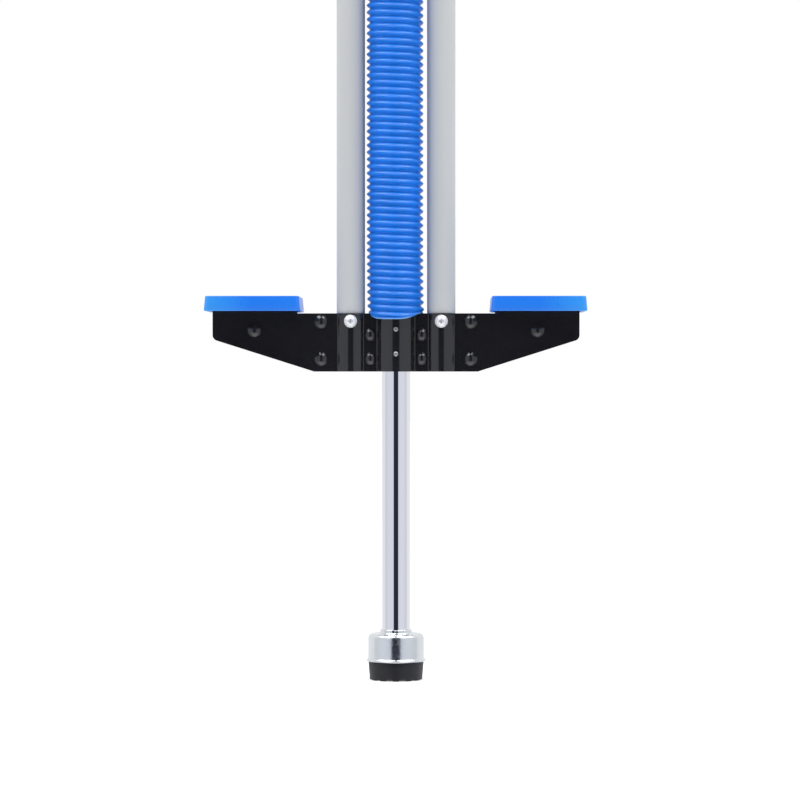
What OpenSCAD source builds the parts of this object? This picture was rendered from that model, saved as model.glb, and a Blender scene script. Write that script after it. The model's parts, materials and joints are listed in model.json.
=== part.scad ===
// Twin-tube pogo stick: two bent frame tubes, stamped foot and head brackets, a sprung
// sliding piston with a cupped rubber foot, and a corrugated sleeve over the spring.
// Millimetres. The origin is the centre of the sole on the ground, +Z is up, +X is the
// rider's side to side and -Y is the front, where the screw heads are.

/* [Frame tubes] */
// Outer diameter of the two frame tubes
tube_d = 22.2; // [21:0.1:22.4]
// Wall of the frame tubes
tube_wall = 1.5; // [1:0.1:2]
// Distance from the middle to each frame tube's centre
tube_x = 35.4; // [35.2:0.1:37]
// Height of the handlebar's centre line
handle_z = 912; // [880:1:960]
// Centre-line radius of the handlebar bend
bend_r = 40; // [36:1:44]
// Distance from the middle to the end of each handlebar tube
bar_end_x = 157; // [150:1:180]

/* [Foot bracket] */
// Height of the foot bracket's lower edge
foot_z = 241.5; // [236:0.5:250]
// Height of the foot bracket's plates
foot_h = 45.5; // [44:0.5:48]
// Half width of the foot bracket's plates
wing_x = 143.4; // [140:0.2:148]
// Thickness of the stamped sheet
sheet = 1.6; // [1.4:0.1:1.8]
// Distance from the middle plane to a plate's outer flat
flat_y = 8; // [7.8:0.1:8.4]

/* [Head bracket] */
// Height of the head bracket's lower edge
head_z = 806; // [790:1:812]
// Height of the head bracket's plates
head_h = 42; // [40:1:44]
// Half width of the head bracket's plates
head_x = 64; // [62:0.5:68]

/* [Foot pads] */
// Length of a foot pad along X
pad_w = 74.5; // [70:0.5:76]
// Depth of a foot pad along Y
pad_d = 80; // [76:1:90]
// Height of a foot pad's tread surface
pad_top = 300; // [299:0.5:302]

/* [Piston] */
// Outer diameter of the piston tube
piston_d = 22.2; // [21.8:0.1:22.2]
// Wall of the piston tube
piston_wall = 1.8; // [1.5:0.1:2]
// Height of the piston tube's top end at rest
piston_top = 650; // [640:1:660]
// Travel of the piston from rest to the bump stop
travel = 130; // [120:1:135]

/* [Spring] */
// Wire diameter of the spring
wire_d = 5; // [4.5:0.1:5]
// Mean diameter of the spring
spring_d = 30; // [29.5:0.1:30]
// Number of turns
turns = 44; // [36:1:46]

/* [Foot cup and tip] */
// Outer radius of the foot cup
cup_r = 22; // [21.5:0.1:22.5]
// Outer radius of the foot cup's rolled lip
lip_r = 23.4; // [23:0.1:24]
// Radius of the rubber tip at the ground
tip_r = 20.6; // [19.8:0.1:20.8]
// Number of notches round the sole
notches = 12; // [10:2:16]

/* [Sleeve] */
// Outer radius of the sleeve's ridges
sleeve_r = 21.6; // [21.4:0.1:22.2]
// Radius in the sleeve's valleys
valley_r = 19.1; // [19:0.1:19.4]
// Distance between ridges
ridge_pitch = 5.47; // [5:0.01:6]

/* [Hidden] */
$fn = 64;

tube_r = tube_d / 2;
piston_r = piston_d / 2;
fit = 0.1;                          // gap of a fixed part in its seat
seat_r = tube_r + fit;              // seat of a frame tube in the plates
bulge_r = seat_r + sheet;           // outside of the plates round a frame tube
channel_r = 15;                     // seat of the bush and the head plug in the plates
channel_out_r = channel_r + sheet;
bend_fillet = 1;                    // outer fillet where a flat meets a bulge
fillet_dip = 0.02;                  // keeps a fillet's ends from running out to nothing
far = 400;                          // longer than anything that is cut
bend_z = handle_z - bend_r;
foot_top = foot_z + foot_h;
head_top = head_z + head_h;

// Foot bracket wings
slant_x = 64;                       // where the lower edge starts to rise
wing_low_z = foot_z + 25.2;         // where the rising edge meets the outer end
wing_corner_r = 4.5;
head_corner_r = 6;
tab_x = 77.5;                       // inner end of the tab under a foot pad
tab_w = wing_x - tab_x;
flange_top = pad_top - 6;
flange_y = 36;
flange_bend_r = 1.5;
flange_corner_r = 6;

// Fasteners
rivet_shank_r = 2.4;
rivet_head_r = 5.3;
inner_head_r = 4.8;                 // head of the rivets between two bulges
rivet_head_h = 2.6;
spacer_r = 3.4;
screw_r = 2.5;
pan_head_r = 5.1;
pan_head_h = 3.4;
recess_w = 3.8;                     // cross recess in a screw head
recess_slot = 0.9;
recess_depth = 1.8;
nut_flats = 8;
nut_h = 5;
pop_head_r = 1.9;
pop_shank_r = 1.6;
pop_end_y = 2 - channel_r;           // inner end of a guide rivet
clear = 0.1;                        // radial clearance of a shank in its hole
screw_z = [foot_z + 39.3, head_z + head_h / 2];
foot_rivets = [                     // [x, z, head radius] of the rivets on the right half
    [110.7, foot_z + 32.2, rivet_head_r],
    [58.4, foot_z + 38.8, rivet_head_r], [58.4, foot_z + 9.8, rivet_head_r],
    [20.1, foot_z + 28.7, inner_head_r], [20.1, foot_z + 10, inner_head_r]
];
head_rivets = [
    [57.5, head_z + 10, rivet_head_r], [57.5, head_z + head_h - 10, rivet_head_r],
    [20.1, head_z + 10, inner_head_r], [20.1, head_z + head_h - 10, inner_head_r]
];
guide_rivet_z = [foot_z + 13.7, foot_z + 33, head_z + 10, head_z + head_h - 10];

// Stack on the centre line, from the foot bracket up
bush_flange_r = 17.6;
bush_flange_h = 3;
rebound_h = 4;
collar_h = 6.5;
thrust_h = 1.5;
rebound_z = foot_top + bush_flange_h;
collar_z = rebound_z + rebound_h;
thrust_z = collar_z + collar_h;
spring_seat_z = thrust_z + thrust_h;
pin_r = 2.5;
running = 0.08;                     // radial clearance of the piston in its bush
top_guide_h = 2;                    // rim of the guide in the piston's top end
rod_r = 8;
rod_wall = 1.5;
rod_low_z = 440;
plug_flange_h = 4;
washer_h = 3;
plug_z = head_z - plug_flange_h;
upper_washer_z = plug_z - washer_h;
bump_z = piston_top + top_guide_h + travel + 0.1;

// Foot
lip_z = 14.5;
cup_wall = 1.5;
cup_top_z = 36.5;
cup_shoulder_r = 4;
neck_r = 12.6;
neck_z = 39.5;
piston_low_z = 24;
notch_w = 5;
notch_h = 1.4;
sole_recess_r = 9;
tip_washer_z = 8;
tip_washer_h = 1.6;
bolt_r = 4;

// Spring path
spring_gap = 0.3;                   // keeps the end turns just off their seats
closed_turns = 1.5;                 // turns at each end that lie close together
closed_pitch = wire_d + 0.4;
steps_per_turn = 12;
wire_sides = 6;
spring_low = spring_seat_z + wire_d / 2 + spring_gap;
spring_high = upper_washer_z - wire_d / 2 - spring_gap;
open_pitch = (spring_high - spring_low - 2 * closed_turns * closed_pitch) / (turns - 2 * closed_turns);

// ---------------------------------------------------------------- helpers

// Both sides of the centre plane
module both_sides() {
    children();
    mirror([1, 0, 0]) children();
}

// A bar along Y between two depths
module along_y(r, y0, y1) {
    translate([0, y1, 0]) rotate([90, 0, 0]) cylinder(r = r, h = y1 - y0);
}

module ring(r_out, r_in, h) {
    difference() {
        cylinder(r = r_out, h = h);
        translate([0, 0, -1]) cylinder(r = r_in, h = h + 2);
    }
}

// Rectangle with round corners, centred
module rounded_rect(w, d, r) {
    square([w - 2 * r, d], center = true);
    square([w, d - 2 * r], center = true);
    for (x = [-1, 1], y = [-1, 1])
        translate([x * (w / 2 - r), y * (d / 2 - r)]) circle(r = r);
}

// The sharp tip that rounding the corner at p with radius r takes away;
// a and b are unit vectors along the two edges
module corner_tip(p, a, b, r) {
    half = acos(a * b) / 2;
    reach = r / tan(half);
    middle = (a + b) / norm(a + b);
    difference() {
        polygon([p, p + a * reach, p + b * reach]);
        translate(p + middle * r / sin(half)) circle(r = r);
    }
}

// ---------------------------------------------------------------- frame tubes

// The right tube's path, filled to radius r: up, round the bend and out along the bar
module tube_path(r, low_z, end_x) {
    translate([tube_x, 0, low_z]) cylinder(r = r, h = bend_z - low_z);
    translate([tube_x + bend_r, 0, bend_z]) rotate([90, 0, 0]) rotate([0, 0, 90])
        rotate_extrude(angle = 90) translate([bend_r, 0]) circle(r = r);
    translate([tube_x + bend_r, 0, handle_z]) rotate([0, 90, 0])
        cylinder(r = r, h = end_x - tube_x - bend_r);
}

module side_tube() {
    color("silver") difference() {
        tube_path(tube_r, foot_z + 2, bar_end_x);
        tube_path(tube_r - tube_wall, foot_z, bar_end_x + 1);
        for (z = screw_z) translate([tube_x, 0, z]) along_y(screw_r + clear, -far, far);
    }
}

module left_side_tube() mirror([1, 0, 0]) side_tube();
module right_side_tube() side_tube();

// Plastic plugs in the open lower ends of the frame tubes
module tube_end_plugs() {
    color("black") both_sides() translate([tube_x, 0, foot_z]) {
        cylinder(r = tube_r, h = 2);
        cylinder(r = tube_r - tube_wall - fit, h = 12);
    }
}

grip_low_x = tube_x + bend_r + 2;
grip_r = 15;
grip_flange_r = 18;
grip_flange_w = 4;
grip_end = 4;

module grip() {
    grip_len = bar_end_x + grip_end - grip_low_x;
    color("dodgerblue") translate([grip_low_x, 0, handle_z]) rotate([0, 90, 0]) difference() {
        union() {
            cylinder(r = grip_flange_r, h = grip_flange_w);
            cylinder(r = grip_r, h = grip_len);
        }
        translate([0, 0, -1]) cylinder(r = seat_r, h = grip_len - grip_end + 1);
    }
}

module left_grip() mirror([1, 0, 0]) grip();
module right_grip() grip();

// ---------------------------------------------------------------- brackets

// Fillet in front of the plate between its flat and a bulge of radius r at x = c,
// on the side given by s = 1 or -1
module bulge_fillet(c, r, s) {
    deep = flat_y + bend_fillet;
    off = sqrt(pow(r + bend_fillet, 2) - pow(deep, 2));
    touch = r / (r + bend_fillet);
    into = off * touch - sheet / 3;     // well inside the bulge's wall
    difference() {
        polygon([
            [c + s * off, -flat_y], [c + s * off, sheet / 2 - flat_y],
            [c + s * into, sheet / 2 - flat_y], [c + s * into, -deep * touch],
            [c + s * off * touch, -deep * touch]
        ]);
        translate([c + s * off, -deep]) circle(r = bend_fillet + fillet_dip);
    }
}

// Section of a front plate, seen from above: flats at -flat_y, half-round seats for
// the two tubes and a wider channel between them
module plate_section(half_w) {
    difference() {
        union() {
            translate([-half_w, -flat_y]) square([2 * half_w, sheet]);
            for (x = [-tube_x, tube_x]) translate([x, 0]) circle(r = bulge_r);
            circle(r = channel_out_r);
        }
        for (x = [-tube_x, tube_x]) translate([x, 0]) circle(r = seat_r);
        circle(r = channel_r);
        translate([-far, sheet - flat_y]) square([2 * far, far]);
    }
}

// A front plate of height h before it is cut to its outline
module plate_blank(half_w, h) {
    linear_extrude(h) plate_section(half_w);
    for (s = [-1, 1]) {
        linear_extrude(h) bulge_fillet(0, channel_out_r, s);
        for (x = [-tube_x, tube_x]) linear_extrude(h) bulge_fillet(x, bulge_r, s);
    }
}

// Outline of a head plate, seen from the front
module head_outline() {
    difference() {
        translate([-head_x, head_z]) square([2 * head_x, head_h]);
        both_sides() {
            corner_tip([head_x, head_z], [-1, 0], [0, 1], head_corner_r);
            corner_tip([head_x, head_top], [-1, 0], [0, -1], head_corner_r);
        }
    }
}

// Outline of a foot plate, seen from the front
module foot_outline() {
    rise = [wing_x - slant_x, wing_low_z - foot_z];
    difference() {
        polygon([
            [-slant_x, foot_z], [slant_x, foot_z], [wing_x, wing_low_z], [wing_x, foot_top],
            [-wing_x, foot_top], [-wing_x, wing_low_z]
        ]);
        both_sides() corner_tip([wing_x, wing_low_z], -rise / norm(rise), [0, 1], wing_corner_r);
    }
}

// Tab above a wing, bent forward into the flange that carries a foot pad
module pad_flange() {
    bend_y = flat_y + flange_bend_r;
    bend_zc = flange_top - sheet - flange_bend_r;
    outer = flange_bend_r + sheet;
    difference() {
        union() {
            translate([tab_x, -flat_y, foot_top]) cube([tab_w, sheet, bend_zc - foot_top]);
            intersection() {
                translate([tab_x, -bend_y, bend_zc]) rotate([0, 90, 0]) ring(outer, flange_bend_r, tab_w);
                translate([tab_x, -bend_y, bend_zc]) cube([tab_w, outer, outer]);
            }
            translate([0, 0, flange_top - sheet]) linear_extrude(sheet) {
                translate([tab_x, flange_corner_r - flange_y])
                    square([tab_w, flange_y - bend_y - flange_corner_r]);
                translate([tab_x + flange_corner_r, -flange_y])
                    square([tab_w - 2 * flange_corner_r, flange_y - bend_y]);
                for (x = [tab_x + flange_corner_r, wing_x - flange_corner_r])
                    translate([x, flange_corner_r - flange_y]) circle(r = flange_corner_r);
            }
        }
        for (x = pad_screw_x) translate([x, -pad_screw_y, 0]) cylinder(r = pad_screw_r + clear, h = far);
    }
}

pad_screw_x = [tab_x + 14, wing_x - 14];
pad_screw_y = 25;
pad_screw_r = 1.75;

module plate_holes(rivets, screw, guides) {
    both_sides() {
        for (p = rivets) translate([p[0], 0, p[1]]) along_y(rivet_shank_r + clear, -far, 0);
        translate([tube_x, 0, screw]) along_y(screw_r + clear, -far, 0);
    }
    for (z = guides) translate([0, 0, z]) along_y(pop_shank_r + clear, -far, 0);
}

module front_foot_plate() {
    difference() {
        intersection() {
            translate([0, 0, foot_z]) plate_blank(wing_x, foot_h);
            rotate([90, 0, 0]) linear_extrude(far) foot_outline();
        }
        plate_holes(foot_rivets, screw_z[0], [guide_rivet_z[0], guide_rivet_z[1]]);
    }
    both_sides() pad_flange();
}

module front_head_plate() {
    difference() {
        intersection() {
            translate([0, 0, head_z]) plate_blank(head_x, head_h);
            rotate([90, 0, 0]) linear_extrude(far) head_outline();
        }
        plate_holes(head_rivets, screw_z[1], [guide_rivet_z[2], guide_rivet_z[3]]);
    }
}

module front_foot_bracket() color("dimgray") front_foot_plate();
module rear_foot_bracket() color("dimgray") mirror([0, 1, 0]) front_foot_plate();
module front_head_bracket() color("dimgray") front_head_plate();
module rear_head_bracket() color("dimgray") mirror([0, 1, 0]) front_head_plate();

// ---------------------------------------------------------------- fasteners

// Domed head on the plane z = 0, pointing up
module dome(r, h) {
    ball = (r * r + h * h) / (2 * h);
    intersection() {
        translate([0, 0, h - ball]) sphere(r = ball);
        cylinder(r = r, h = h);
    }
}

// Rivet along Y through both plates, with a dome at each end
module rivet(head_r) {
    along_y(rivet_shank_r, -flat_y, flat_y);
    for (side = [0, 180]) rotate([0, 0, side]) translate([0, -flat_y, 0]) rotate([90, 0, 0])
        dome(head_r, rivet_head_h);
}

module rivet_spacer() {
    reach = flat_y - sheet;
    difference() {
        along_y(spacer_r, -reach, reach);
        along_y(rivet_shank_r + clear, -far, far);
    }
}

module at_places(places) both_sides() for (p = places) translate([p[0], 0, p[1]]) children();
module rivets(places) both_sides() for (p = places) translate([p[0], 0, p[1]]) rivet(p[2]);

module foot_bracket_rivets() color("black") rivets(foot_rivets);
module head_bracket_rivets() color("black") rivets(head_rivets);
module foot_bracket_spacers() color("gray") at_places(foot_rivets) rivet_spacer();
module head_bracket_spacers() color("gray") at_places(head_rivets) rivet_spacer();

// Pan-head cross-recess screw along Y, head at the front
module tube_screw() {
    difference() {
        union() {
            translate([0, -bulge_r, 0]) rotate([90, 0, 0]) dome(pan_head_r, pan_head_h);
            along_y(screw_r, -bulge_r, bulge_r + nut_h + 1);
        }
        for (turn = [0, 90]) translate([0, -bulge_r - pan_head_h, 0]) rotate([0, turn, 0])
            cube([recess_w, 2 * recess_depth, recess_slot], center = true);
    }
}

module tube_lock_nut() {
    translate([0, bulge_r, 0]) rotate([-90, 0, 0]) difference() {
        union() {
            cylinder(r = nut_flats / 2 / cos(30), h = nut_h - 1.2, $fn = 6);
            cylinder(r = nut_flats / 2 - 0.2, h = nut_h);
        }
        translate([0, 0, -1]) cylinder(r = screw_r + 0.05, h = nut_h + 2);
    }
}

module at_screws() both_sides() for (z = screw_z) translate([tube_x, 0, z]) children();

module tube_screws() color("white") at_screws() tube_screw();
module tube_lock_nuts() color("white") at_screws() tube_lock_nut();

// Small blind rivets that hold the bush and the head plug in the plates' channels
module guide_rivets() {
    color("white") for (z = guide_rivet_z, side = [0, 180]) rotate([0, 0, side]) translate([0, 0, z]) {
        along_y(pop_shank_r, -channel_out_r, pop_end_y);
        translate([0, -channel_out_r, 0]) rotate([90, 0, 0]) dome(pop_head_r, 0.9);
    }
}

// ---------------------------------------------------------------- foot pads

pad_x = 148.2 - pad_w / 2;          // centre of the right pad
pad_h = 11.6;
pad_low = pad_top - pad_h;
pad_draft = 0.9;
pad_wall = 2.5;
pad_skin = 3;                       // thickness of the tread plate
pad_corner_r = 3;
groove_w = 2;
groove_h = 0.8;
groove_pitch = 6;

// Section of a pad that narrows a little towards its top
module drafted(w) {
    polygon([[-w / 2, 0], [w / 2, 0], [w / 2 - pad_draft, pad_h], [pad_draft - w / 2, pad_h]]);
}

// Tread of straight grooves along Y that stop short of the pad's rim
module tread_grooves() {
    count = floor((pad_w - 22) / groove_pitch / 2);
    for (i = [-count:count]) translate([i * groove_pitch - groove_w / 2, 8 - pad_d / 2, pad_top - groove_h])
        cube([groove_w, pad_d - 16, 1]);
}

module foot_pad() {
    color("dodgerblue") translate([pad_x, 0, 0]) difference() {
        intersection() {
            translate([0, 0, pad_low]) linear_extrude(pad_h) rounded_rect(pad_w, pad_d, pad_corner_r);
            rotate([90, 0, 0]) translate([0, pad_low]) linear_extrude(far, center = true) drafted(pad_w);
            rotate([90, 0, 90]) translate([0, pad_low]) linear_extrude(far, center = true) drafted(pad_d);
        }
        difference() {
            translate([0, 0, pad_low - 1]) linear_extrude(pad_top - pad_skin - pad_low + 1)
                rounded_rect(pad_w - 2 * pad_wall, pad_d - 2 * pad_wall, pad_corner_r - pad_wall);
            // ribs and screw bosses that stand on the flanges
            translate([-pad_w / 2, -pad_d / 2, flange_top]) for (x = [16, 36, 56])
                translate([x, 0, 0]) cube([2.5, pad_d, 9]);
            for (x = pad_screw_x, y = [-pad_screw_y, pad_screw_y])
                translate([x - pad_x, y, flange_top]) cylinder(r = 4, h = 9);
        }
        for (x = pad_screw_x, y = [-pad_screw_y, pad_screw_y])
            translate([x - pad_x, y, 0]) cylinder(r = pad_screw_r, h = pad_top - 1.6);
        tread_grooves();
    }
}

module left_foot_pad() mirror([1, 0, 0]) foot_pad();
module right_foot_pad() foot_pad();

// Short screws from under the flanges into the pads
module foot_pad_screws() {
    under = flange_top - sheet;
    color("gray") both_sides() for (x = pad_screw_x, y = [-pad_screw_y, pad_screw_y])
        translate([x, y, under]) {
            cylinder(r = pad_screw_r - 0.05, h = pad_top - 2 - under);
            rotate([180, 0, 0]) dome(3.4, 1.9);
        }
}

// ---------------------------------------------------------------- centre line, fixed

// Flanged nylon bush in the foot bracket's channel
module guide_bush() {
    color("white") difference() {
        union() {
            translate([0, 0, foot_z]) cylinder(r = channel_r - fit, h = foot_h);
            translate([0, 0, foot_top]) cylinder(r = bush_flange_r, h = bush_flange_h);
        }
        translate([0, 0, foot_z - 2]) cylinder(r = piston_r + running, h = foot_h + bush_flange_h + 4);
        for (z = [guide_rivet_z[0], guide_rivet_z[1]], side = [0, 180]) rotate([0, 0, side])
            translate([0, 0, z]) along_y(pop_shank_r + clear, -far, pop_end_y + 0.3);
    }
}

module rebound_washer() {
    color("black") translate([0, 0, rebound_z]) ring(17, piston_r + 0.5, rebound_h);
}

// Corrugated sleeve between the two brackets
module corrugated_sleeve() {
    low = foot_top + 0.1;
    high = head_z - 0.1;
    wall = 0.7;
    ridges = floor((high - low) / ridge_pitch);
    step = (high - low) / ridges;
    outer = [for (i = [0:2 * ridges]) [i % 2 == 0 ? valley_r : sleeve_r, low + i * step / 2]];
    inner = [for (i = [2 * ridges:-1:0]) [(i % 2 == 0 ? valley_r : sleeve_r) - wall, low + i * step / 2]];
    color("dodgerblue") rotate_extrude() polygon(concat(outer, inner));
}

// Plug that holds the guide rod in the head bracket's channel
module head_plug() {
    color("gray") difference() {
        union() {
            translate([0, 0, plug_z]) cylinder(r = bush_flange_r, h = plug_flange_h);
            translate([0, 0, head_z]) cylinder(r = channel_r - fit, h = head_h);
        }
        translate([0, 0, plug_z - 1]) cylinder(r = rod_r + 0.05, h = head_h + plug_flange_h + 2);
        for (z = [guide_rivet_z[2], guide_rivet_z[3]], side = [0, 180]) rotate([0, 0, side])
            translate([0, 0, z]) along_y(pop_shank_r + clear, -far, pop_end_y + 0.3);
    }
}

module head_cap() {
    color("black") {
        translate([0, 0, head_top]) dome(channel_out_r + 0.6, 4);
        translate([0, 0, head_top - 8]) cylinder(r = rod_r - rod_wall - fit, h = 8.5);
    }
}

module guide_rod() {
    color("silver") translate([0, 0, rod_low_z]) ring(rod_r, rod_r - rod_wall, head_top - rod_low_z);
}

module upper_spring_washer() {
    color("gray") translate([0, 0, upper_washer_z]) ring(17.5, rod_r + 0.05, washer_h);
}

// Rubber buffer that the piston's top end meets at full travel
module bump_stop() {
    color("black") translate([0, 0, bump_z]) ring(11.8, rod_r + 0.05, upper_washer_z - bump_z);
}

// ---------------------------------------------------------------- spring

// Height of the wire's centre after t turns: close turns at both ends
function spring_z(t) =
    t < closed_turns ? spring_low + t * closed_pitch :
    t > turns - closed_turns ? spring_high - (turns - t) * closed_pitch :
    spring_low + closed_turns * closed_pitch + (t - closed_turns) * open_pitch;

module coil_spring() {
    rings = turns * steps_per_turn;
    points = [
        for (i = [0:rings], k = [0:wire_sides - 1])
            let (around = 360 * i / steps_per_turn, tilt = 360 * k / wire_sides,
                 reach = (spring_d + wire_d * cos(tilt)) / 2)
            [reach * cos(around), reach * sin(around),
             spring_z(i / steps_per_turn) + wire_d / 2 * sin(tilt)]
    ];
    sides = [
        for (i = [0:rings - 1], k = [0:wire_sides - 1])
            let (a = i * wire_sides + k, b = i * wire_sides + (k + 1) % wire_sides)
            [a, b, b + wire_sides, a + wire_sides]
    ];
    low_end = [for (k = [wire_sides - 1:-1:0]) k];
    high_end = [for (k = [0:wire_sides - 1]) rings * wire_sides + k];
    color("gray") polyhedron(points, concat(sides, [low_end, high_end]), convexity = 10);
}

// Washer that lets the piston turn under the spring
module thrust_washer() {
    color("gray") translate([0, 0, thrust_z]) ring(17.3, piston_r + 0.3, thrust_h);
}

// ---------------------------------------------------------------- piston

module collar_pin_hole() {
    translate([-far, 0, collar_z + collar_h / 2]) rotate([0, 90, 0]) cylinder(r = pin_r + clear, h = 2 * far);
}

module piston_tube() {
    color("silver") difference() {
        translate([0, 0, piston_low_z])
            ring(piston_r, piston_r - piston_wall, piston_top - piston_low_z);
        collar_pin_hole();
    }
}

module piston_top_guide() {
    depth = 22;
    color("white") difference() {
        union() {
            translate([0, 0, piston_top - depth]) cylinder(r = piston_r - piston_wall - 0.05, h = depth);
            translate([0, 0, piston_top]) cylinder(r = piston_r, h = top_guide_h);
        }
        translate([0, 0, piston_top - depth - 1]) cylinder(r = rod_r + 0.1, h = depth + top_guide_h + 2);
    }
}

module stop_collar() {
    color("gray") difference() {
        translate([0, 0, collar_z]) ring(16.8, piston_r + 0.03, collar_h);
        collar_pin_hole();
    }
}

module collar_pin() {
    color("gray") translate([-16.5, 0, collar_z + collar_h / 2]) rotate([0, 90, 0])
        cylinder(r = pin_r, h = 33);
}

// ---------------------------------------------------------------- foot

// Pressed cup with a neck round the piston tube and a rolled lip
module foot_cup() {
    inner_r = cup_r - cup_wall;
    under = cup_top_z - cup_wall;
    color("gainsboro") rotate_extrude() difference() {
        union() {
            translate([0, lip_z]) square([cup_r, cup_top_z - cup_shoulder_r - lip_z]);
            translate([0, cup_top_z - cup_shoulder_r]) square([cup_r - cup_shoulder_r, cup_shoulder_r]);
            translate([cup_r - cup_shoulder_r, cup_top_z - cup_shoulder_r]) circle(r = cup_shoulder_r);
            square([neck_r, neck_z]);
            translate([0, lip_z]) square([lip_r - 1.1, 2.2]);
            translate([lip_r - 1.1, lip_z + 1.1]) circle(r = 1.1);
        }
        translate([-far, lip_z - far]) square([2 * far, far]);
        square([piston_r + 0.05, far]);
        square([inner_r, under - 2.5]);
        square([inner_r - 2.5, under]);
        translate([inner_r - 2.5, under - 2.5]) circle(r = 2.5);
        translate([-far, 0]) square([far, far]);
    }
}

// Threaded plug welded in the piston's lower end
module foot_plug() {
    color("gray") translate([0, 0, piston_low_z]) ring(piston_r - piston_wall - 0.05, bolt_r + 0.05, 20);
}

// Rubber tip with a treaded sole, pressed into the cup and held by a bolt
module rubber_tip() {
    shoulder_r = tip_r + 1.1;
    core_r = cup_r - cup_wall - fit;
    core_top = cup_top_z - cup_wall - 3;
    color("dimgray") difference() {
        rotate_extrude() difference() {
            polygon([
                [0, 0], [tip_r - 0.8, 0], [tip_r, 0.8], [shoulder_r, lip_z], [core_r, lip_z],
                [core_r, core_top], [0, core_top]
            ]);
            square([sole_recess_r, tip_washer_z + tip_washer_h]);
            square([bolt_r + 0.2, far]);
            translate([0, piston_low_z - 0.3]) square([piston_r + 0.2, far]);
            translate([13.5, -1]) square([2, 3]);
        }
        for (i = [0:notches - 1]) rotate([0, 0, (i + 0.5) * 360 / notches])
            translate([14.5, -notch_w / 2, -1]) cube([10, notch_w, notch_h + 1]);
    }
}

module tip_washer() {
    color("gray") translate([0, 0, tip_washer_z]) ring(sole_recess_r - 0.5, bolt_r + 0.2, tip_washer_h);
}

module tip_bolt() {
    color("gray") difference() {
        union() {
            translate([0, 0, tip_washer_z - 5]) cylinder(r = 6.5, h = 5);
            translate([0, 0, tip_washer_z - 1]) cylinder(r = bolt_r, h = 31);
        }
        translate([0, 0, tip_washer_z - 6]) cylinder(r = 3 / cos(30), h = 4, $fn = 6);
    }
}

left_side_tube();
right_side_tube();
tube_end_plugs();
left_grip();
right_grip();
front_foot_bracket();
rear_foot_bracket();
foot_bracket_rivets();
foot_bracket_spacers();
front_head_bracket();
rear_head_bracket();
head_bracket_rivets();
head_bracket_spacers();
tube_screws();
tube_lock_nuts();
guide_rivets();
left_foot_pad();
right_foot_pad();
foot_pad_screws();
guide_bush();
rebound_washer();
corrugated_sleeve();
head_plug();
head_cap();
guide_rod();
upper_spring_washer();
bump_stop();
coil_spring();
thrust_washer();
piston_tube();
piston_top_guide();
stop_collar();
collar_pin();
foot_cup();
foot_plug();
rubber_tip();
tip_washer();
tip_bolt();
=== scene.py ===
"""Looks for the twin-tube pogo stick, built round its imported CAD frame."""

import json
import math

import bmesh
import bpy
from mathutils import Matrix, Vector, noise


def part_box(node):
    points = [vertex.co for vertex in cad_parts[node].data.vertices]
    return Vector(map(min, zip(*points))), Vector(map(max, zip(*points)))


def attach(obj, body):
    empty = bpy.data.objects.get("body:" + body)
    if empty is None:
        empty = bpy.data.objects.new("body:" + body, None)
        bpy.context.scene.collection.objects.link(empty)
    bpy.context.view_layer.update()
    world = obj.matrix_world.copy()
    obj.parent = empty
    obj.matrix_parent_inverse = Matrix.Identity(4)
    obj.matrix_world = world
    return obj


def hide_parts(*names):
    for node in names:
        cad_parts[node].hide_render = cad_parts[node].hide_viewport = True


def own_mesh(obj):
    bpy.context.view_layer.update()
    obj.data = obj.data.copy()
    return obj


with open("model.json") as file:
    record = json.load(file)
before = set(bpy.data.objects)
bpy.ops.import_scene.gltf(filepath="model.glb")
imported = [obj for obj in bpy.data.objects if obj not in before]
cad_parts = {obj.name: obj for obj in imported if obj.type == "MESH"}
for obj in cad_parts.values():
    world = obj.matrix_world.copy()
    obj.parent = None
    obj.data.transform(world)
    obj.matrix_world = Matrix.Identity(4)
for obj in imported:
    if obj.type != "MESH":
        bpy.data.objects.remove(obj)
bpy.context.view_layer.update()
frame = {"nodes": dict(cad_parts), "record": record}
MM = 0.001
TURN = 2 * math.pi

# ------------------------------------------------------------------ sizes, in metres

SHEET = 1.6 * MM                  # thickness of the stamped brackets
FLAT_Y = 7.2 * MM                 # middle of a plate's flat
CHANNEL_R = 15.8 * MM             # middle of a plate where it goes round the bush
BULGE_R = 12.0 * MM               # middle of a plate where it goes round a side tube
PLATE_FILLET = 2.2 * MM           # middle of a plate between a flat and a bulge
SLANT_X = 64 * MM                 # where the foot plates' lower edge starts to rise
WING_LOW = 25.2 * MM              # height of the foot plates' outer corner over that edge
WING_CORNER_R = 4.5 * MM
HEAD_CORNER_R = 6 * MM
TAB_X = 77.5 * MM                 # inner end of the tab under a foot pad
FLANGE_Y = 36 * MM
FLANGE_BEND_R = 2.3 * MM
FLANGE_CORNER_R = 6 * MM
FLANGE_DROP = 6 * MM              # from a pad's tread down to the top of its flange
FOOT_COLUMNS = (56 * MM, SLANT_X, 70 * MM)      # columns of mesh between a side tube and a tab
HEAD_COLUMN = 52 * MM
PLATE_ROWS = 8
EDGE_ROW = 0.9 * MM               # a narrow row of mesh along an edge keeps the shading flat up to it
EDGE_BEVEL = 0.35 * MM

SLEEVE_WALL = 0.7 * MM
RIDGE_PITCH = 5.47 * MM
RIDGE_DEPTH = 2.5 * MM
RIDGE_START = 2.43                # pitches from the sleeve's end down to where its helix starts
SLEEVE_DROOP = 4.4 * MM           # how far the sleeve's lower end hangs in front of the bracket
HEM_INSET = 0.9 * MM              # middle of the sleeve's rolled end, in from its ridges
SLEEVE_LEAN = 0.8 * MM            # how far the sleeve's middle sits to the left

WIRE_R = 2.5 * MM
SPRING_TURNS = 44
CLOSED_TURNS = 1.5
CLOSED_PITCH = 5.4 * MM

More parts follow.
